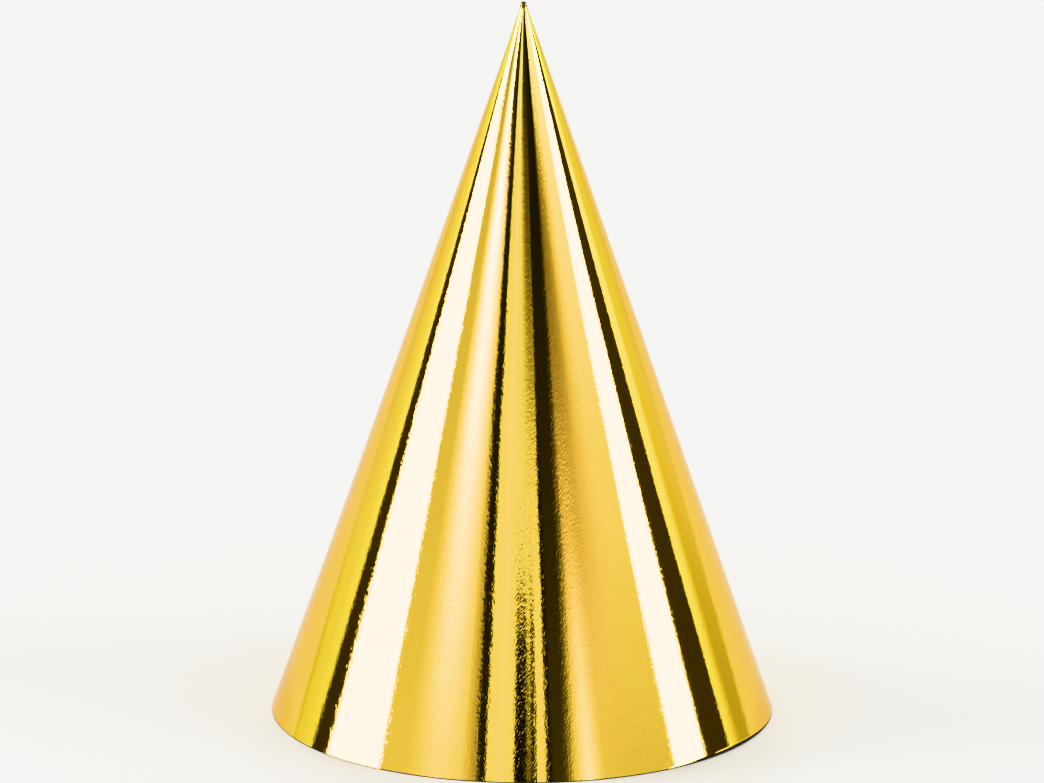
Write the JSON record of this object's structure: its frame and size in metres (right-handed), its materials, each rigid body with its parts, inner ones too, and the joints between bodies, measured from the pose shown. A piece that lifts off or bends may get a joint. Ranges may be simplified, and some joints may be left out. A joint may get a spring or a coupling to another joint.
{
  "type": "party hat",
  "caption": "Plain cone-shaped party hat rolled from mirror-gold faced card, with a glued seam at the back and punched holes for a chin elastic.",
  "frame": {"origin": "on the cone's axis, at the height of the brim's cut edge", "axes": "+Z along the cone's axis towards its tip, -Y towards the front, +Y towards the glued seam"},
  "size_m": [0.1109, 0.1111, 0.1591],
  "materials": {
    "white_card": "matte",
    "gold_film": "polished",
    "glue": "satin"
  },
  "bodies": {
    "root": {"card_cone": "white_card", "gold_film": "gold_film", "seam_glue": "glue"}
  },
  "joints": []
}
